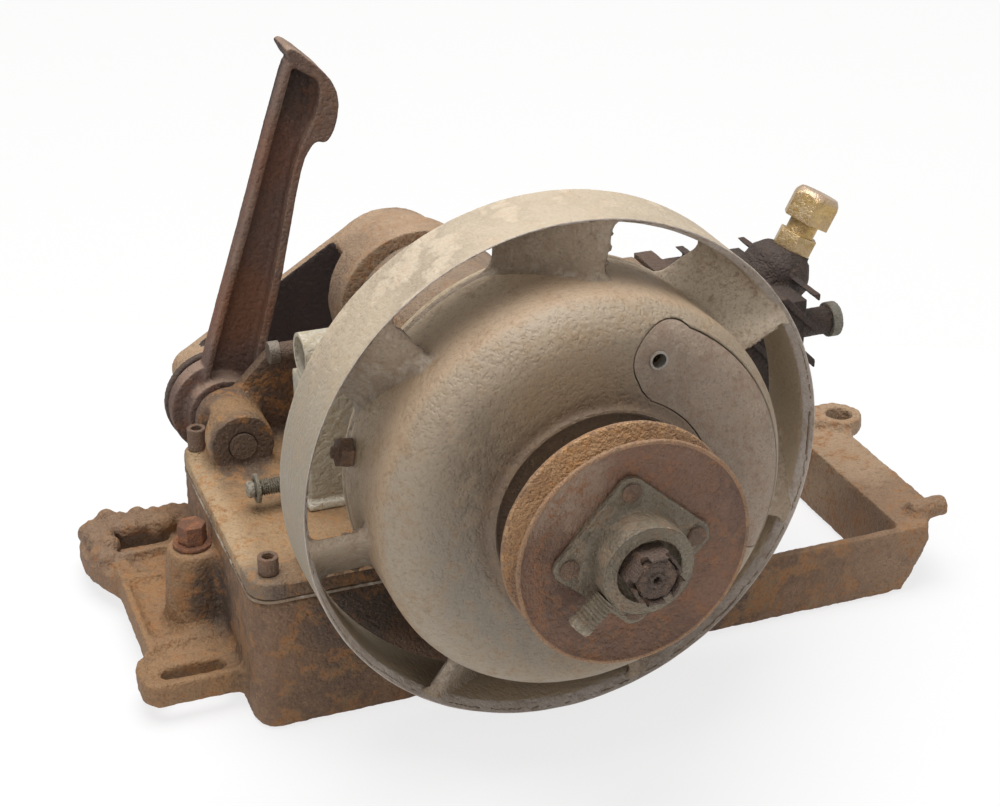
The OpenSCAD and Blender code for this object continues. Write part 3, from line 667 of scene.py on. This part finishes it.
bpy.ops.mesh.primitive_cylinder_add(
    vertices=48, radius=0.0034, depth=0.03, location=screw_hole, rotation=(math.pi / 2, 0, 0))
drill = bpy.context.object
bpy.ops.object.transform_apply(location=True, rotation=True, scale=True)
modify(bowl_piece, "BOOLEAN", object=drill, operation="DIFFERENCE", solver="EXACT")
bpy.data.objects.remove(drill)
uneven_skin(bowl_piece, size=0.012, depth=0.0003, level=0.75)
bpy.ops.object.shade_smooth_by_angle(angle=math.radians(32))
bowl_paint = aged_metal(
    "oxidised_bowl", body=(0.235, 0.178, 0.120), dark=(0.140, 0.096, 0.064), pale=(0.36, 0.295, 0.215),
    rust=(0.285, 0.175, 0.085), stain=0.95, bloom=0.4, rusty=0.42, grain=0.55, pits=0.7, rough=0.56,
    dust=0.08, wear=0.25, speckle=0.55,
    washes=(
        ("near", (crank_x - 0.018, -0.118, crank_z + 0.062), 0.042, 0.012, (0.30, 0.195, 0.105), 0.55),
        ("along", (-0.85, 0, -0.53), -0.022, 0.040, (0.250, 0.218, 0.172), 0.85),
        ("round", (crank_x, 0, crank_z), 0.066, 0.092, (0.36, 0.285, 0.200), 0.6),
        ("along", (0, 1, 0), -0.106, -0.098, (0.40, 0.285, 0.185), 0.85),
        ("along", (0, 1, 0), -0.084, -0.064, (0.56, 0.45, 0.315), 0.75),
        ("round", (crank_x, 0, crank_z), 0.0590, 0.0535, (0.17, 0.110, 0.070), 0.7)))
finish_piece(bowl_piece, "rotor", bowl_paint, "wheel_alloy", "flywheel")

# the blades: all of the wheel that lies in a ring between bowl and rim
vanes = plain_copy("flywheel", "fan_vanes")
keeper_line = [(92.0, -6.0), (124.3, -6.0), (124.3, 44.0), (92.0, 44.0)]
keeper = turned("vane_keeper", keeper_line, wheel_front, (0, 1, 0), steps=180)
modify(vanes, "REMESH", mode="VOXEL", voxel_size=0.0013)
modify(vanes, "BOOLEAN", object=keeper, operation="INTERSECT", solver="MANIFOLD")
bpy.data.objects.remove(keeper)
recast(vanes, voxel=0.0012, fillet=0.0024, smooth=2, swell=0.0003, lumps=0.0002)
modify(vanes, "DISPLACE", strength=-0.0005, mid_level=0.0)
# the blades: a darker grey-brown, partly painted shade, and painted light by the wash near the blade at the
# upper right
vane_paint_light_and_shade = aged_metal(
    "vanes_painted_light_and_shade", body=(0.34, 0.265, 0.190), dark=(0.135, 0.094, 0.068), pale=(0.64, 0.57, 0.47),
    rust=(0.31, 0.20, 0.12), stain=0.8, bloom=0.45, rusty=0.4, grain=0.8, speckle=0.6, wear=0.5,
    washes=(("near", (crank_x + 0.080, -0.075, crank_z + 0.072), 0.050, 0.034, (0.58, 0.48, 0.36), 0.85),))
finish_piece(vanes, "rotor", vane_paint_light_and_shade, "wheel_alloy")

# Screw in the side of the bowl: a small steel hexagon, rusted, turned into a
# hole of the casting with its end standing out.
finish_piece(
    recast(plain_copy("bowl_screw", "bowl_screw_worn"), voxel=0.0004, smooth=2, lumps=0.0005),
    "rotor", screw_paint, "screw_steel", "bowl_screw")

# Inspection cover: an oxidised plate let into its seat on the face of the
# bowl, with a ring of brighter metal in the eye at its rounded end.
cover_paint = aged_metal(
    "oxidised_cover", body=(0.300, 0.228, 0.168), dark=(0.135, 0.096, 0.072), pale=(0.48, 0.405, 0.32),
    rust=(0.27, 0.165, 0.110), grain=0.5, pits=0.3, speckle=0.7, bloom=0.3, rusty=0.6)
refinish("inspection_cover", cover_paint)
ring_paint = aged_metal(
    "bright_ring_metal", body=(0.36, 0.34, 0.30), dark=(0.15, 0.13, 0.11), pale=(0.60, 0.58, 0.52),
    rust=(0.3, 0.22, 0.15), metal=0.5, rough=0.4, grain=0.2, scale=2)
refinish("cover_eyelet", ring_paint)

# Pulley: two pressed discs with rolled rims, rough with golden and dark red
# rust, riveted to a cast hub with four lobes.
rear_paint = aged_metal(
    "golden_rust", body=(0.42, 0.245, 0.12), dark=(0.19, 0.095, 0.050), pale=(0.66, 0.46, 0.26),
    rust=(0.52, 0.25, 0.08), scale=1.5, grain=1.0, speckle=0.8, wear=0.4,
    washes=(("along", (0.5, 0, -0.87), -0.168, -0.140, (0.170, 0.092, 0.055), 0.85),))
front_paint = aged_metal(
    "dark_red_rust", body=(0.175, 0.090, 0.055), dark=(0.075, 0.043, 0.031), pale=(0.27, 0.18, 0.12),
    rust=(0.25, 0.108, 0.045), scale=1.2, grain=0.8, speckle=0.45, bloom=0.3, rusty=0.8, stain=1.0, wear=0.1,
    rough=0.6,
    washes=(("near", (crank_x - 0.034, -0.153, crank_z + 0.038), 0.030, 0.008, (0.32, 0.235, 0.170), 0.75),))
rolled_paint = aged_metal(
    "worn_rolled_rim", body=(0.29, 0.170, 0.095), dark=(0.13, 0.075, 0.047), pale=(0.50, 0.36, 0.23),
    rust=(0.36, 0.18, 0.075), scale=1.5, grain=0.9, speckle=0.8)


def rolled_disc(name, turn, node, paint, slot):
    """A pressed disc: flat web, cone and a rolled rim. turn is 1 for the
    front disc, whose cone opens forwards, and -1 for the rear one."""
    middle_y = (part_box("pulley_rear")[0][1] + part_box("pulley_front")[1][1]) / 2
    line = [(18.55, 2.0), (24.0, 2.0), (30.0, 2.0), (38.0, 2.0)]
    line += [(38.0 + 1.5 * i, 2.0 + 0.56 * i) for i in range(1, 10)]
    line += [(52.9, 7.4), (53.8, 8.0), (54.0, 8.9), (53.7, 9.7), (52.9, 10.0), (52.0, 9.7), (51.3, 9.0)]
    line += [(50.4 - 1.5 * i, 8.4 - 0.5 * i) for i in range(1, 9)]
    line += [(37.0, 4.5), (30.0, 4.5), (24.0, 4.5), (18.55, 4.5)]
    disc = turned(
        name,
        [(r, -turn * v) for r, v in line],
        (crank_x, middle_y, crank_z),
        (0, 1, 0), steps=220, crease=50)
    uneven_skin(disc, size=0.004, depth=0.0005, level=0.75)
    finish_piece(disc, "rotor", paint, slot, node)
    disc.data.materials.append(rolled_paint)
    roll_radius, roll_depth = 0.0524, 0.0078
    for face in disc.data.polygons:
        reach = math.hypot(face.center.x - crank_x, face.center.z - crank_z)
        if reach > roll_radius and (face.center.y - middle_y) * turn < -roll_depth:
            face.material_index = 1


rolled_disc("rear_pulley_disc", -1, "pulley_rear", rear_paint, "pulley_rust")
rolled_disc("front_pulley_disc", 1, "pulley_front", front_paint, "pulley_brown")
hub_paint = aged_metal(
    "green_grey_hub", body=(0.185, 0.150, 0.102), dark=(0.070, 0.052, 0.036), pale=(0.46, 0.39, 0.29),
    rust=(0.21, 0.12, 0.06), scale=1.3, speckle=0.5, wear=0.6, rough=0.6)
finish_piece(
    recast(
        plain_copy("pulley_hub", "lobed_hub"), voxel=0.0007, fillet=0.0018, smooth=2, swell=0.0003,
        lumps=0.0002),
    "rotor", hub_paint, "hub_iron", "pulley_hub")
finish_piece(
    recast(plain_copy("hub_rivets", "domed_rivets"), voxel=0.0004, smooth=6, lumps=0.0003),
    "rotor", screw_paint, "pulley_brown", "hub_rivets")

# Set screw, threaded into one lobe of the hub from its side, and the castle
# nut that holds the pulley on the crankshaft's end: steel, deeply pitted.
set_angle = math.radians(223)
set_way = (math.cos(set_angle), 0, math.sin(set_angle))
set_low, set_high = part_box("hub_set_screw")
set_line = [(0.02, 21.3), (5.0, 21.3)]
set_line += [(5.0 + 0.85 * (i % 2), 22.0 + 0.9 * i) for i in range(14)]
set_line += [(5.3, 34.8), (5.8, 35.4), (5.8, 37.8), (4.9, 39.4), (3.0, 39.5), (2.8, 38.3), (0.02, 38.3)]
set_centre = (crank_x, (set_low[1] + set_high[1]) / 2, crank_z)
set_piece = turned("set_screw_worn", set_line, set_centre, set_way, steps=56, crease=45)
uneven_skin(set_piece, size=0.0035, depth=0.0009, level=0.8)
finish_piece(set_piece, "rotor", hub_paint, "screw_steel", "hub_set_screw")
nut_paint = aged_metal(
    "pitted_nut", body=(0.115, 0.075, 0.055), dark=(0.020, 0.016, 0.016), pale=(0.30, 0.21, 0.15),
    rust=(0.20, 0.105, 0.052), scale=2.2, grain=1.6, speckle=0.8, grime_and_shade=0.9, wear=0.6)
nut_piece = recast(plain_copy("crank_nut", "castle_nut"), voxel=0.00035, smooth=2, swell=0.0004, lumps=0.0006)
modify(nut_piece, "DISPLACE", strength=-0.0003, mid_level=0.0)
finish_piece(nut_piece, "rotor", nut_paint, "nut_rust", "crank_nut")

# End of the crankshaft inside the nut: turned steel, drilled in its middle
# for the lathe centre and pitted like the nut.
shaft_low, shaft_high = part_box("crankshaft")
# radius in millimetres, less what the uneven skin adds
tip_reach = (shaft_high[0] - shaft_low[0]) * 500 - 0.2
tip_line = [
    (1.3, 0.5), (1.4, -3.0), (2.2, -3.9), (3.2, -3.9), (3.8, -3.2), (5.0, -3.6), (tip_reach - 1.0, -3.4),
    (tip_reach, -2.6), (tip_reach, 0.5)]
tip_centre = ((shaft_low[0] + shaft_high[0]) / 2, shaft_low[1], (shaft_low[2] + shaft_high[2]) / 2)
tip_piece = turned("shaft_tip", tip_line, tip_centre, (0, 1, 0), steps=72)
modify(tip_piece, "REMESH", mode="VOXEL", voxel_size=0.0003, use_smooth_shade=True)
uneven_skin(tip_piece, size=0.002, depth=0.0009)
finish_piece(tip_piece, "rotor", nut_paint, "shaft_steel")
